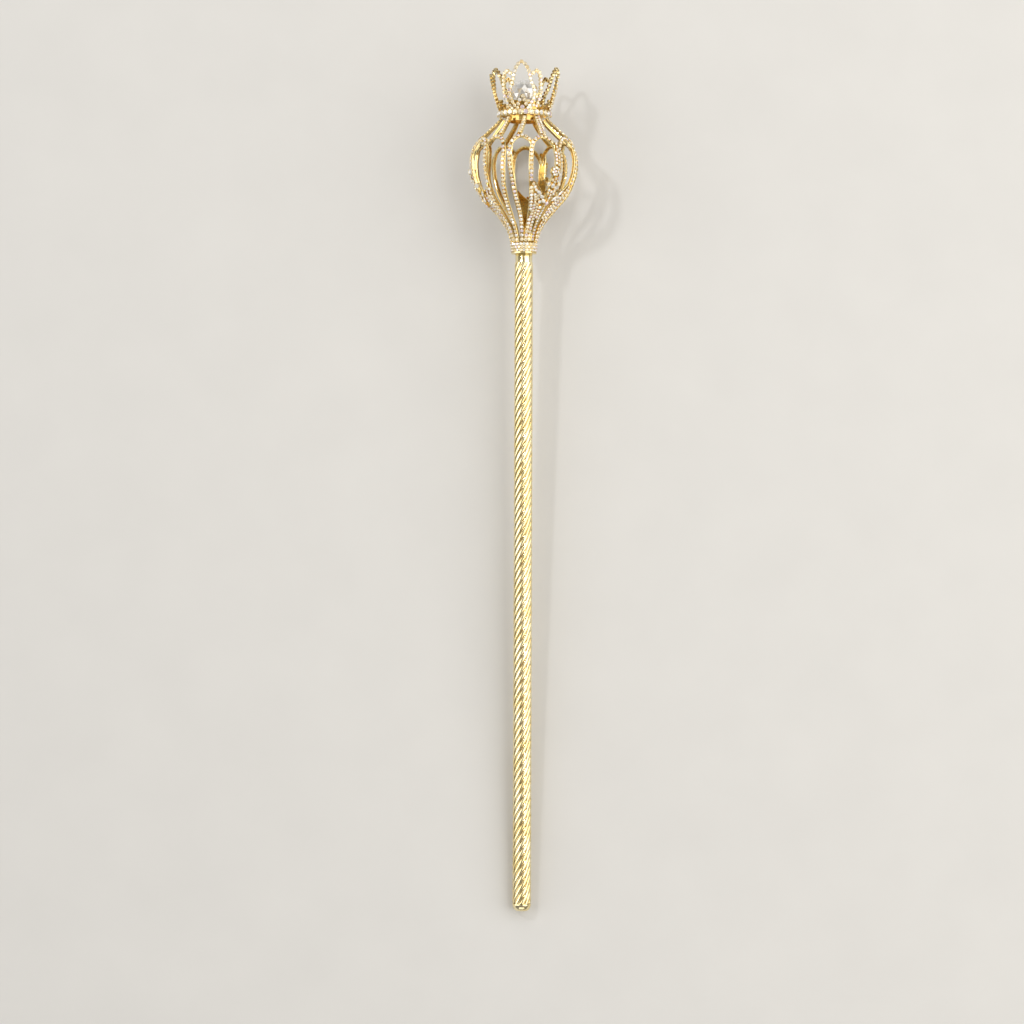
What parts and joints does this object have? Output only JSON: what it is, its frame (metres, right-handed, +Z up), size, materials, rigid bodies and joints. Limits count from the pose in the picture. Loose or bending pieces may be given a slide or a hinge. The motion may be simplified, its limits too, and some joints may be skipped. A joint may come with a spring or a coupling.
{
  "type": "sceptre",
  "caption": "Jewelled gold sceptre: rope-twisted rod, openwork bulb head and petal crown holding a faceted crystal ball, lying on its back.",
  "frame": {"origin": "centre of the bounding box in plan, on the ground plane it lies on", "axes": "+Y along the sceptre towards its crown, +Z up through the front of the head, +X to its right"},
  "size_m": [0.0596, 0.4576, 0.058],
  "materials": {
    "twisted_gold_rod": "polished gold plate on a tube",
    "gold_end_cap": "polished gold plate",
    "stone_set_collar": "gold plate paved with clear stones",
    "stone_set_panel_1": "gold plated casting set with rows of clear stones",
    "stone_set_panel_2": "gold plated casting set with rows of clear stones",
    "stone_set_panel_3": "gold plated casting set with rows of clear stones",
    "stone_set_crown": "gold plated casting set with rows of clear stones",
    "clear_crystal": "clear faceted crystal"
  },
  "bodies": {
    "root": {"shaft": "twisted_gold_rod", "butt_cap": "gold_end_cap", "collar": "stone_set_collar", "head_panel_1": "stone_set_panel_1", "head_panel_2": "stone_set_panel_2", "head_panel_3": "stone_set_panel_3", "crown": "stone_set_crown", "crystal_ball": "clear_crystal"}
  },
  "joints": []
}
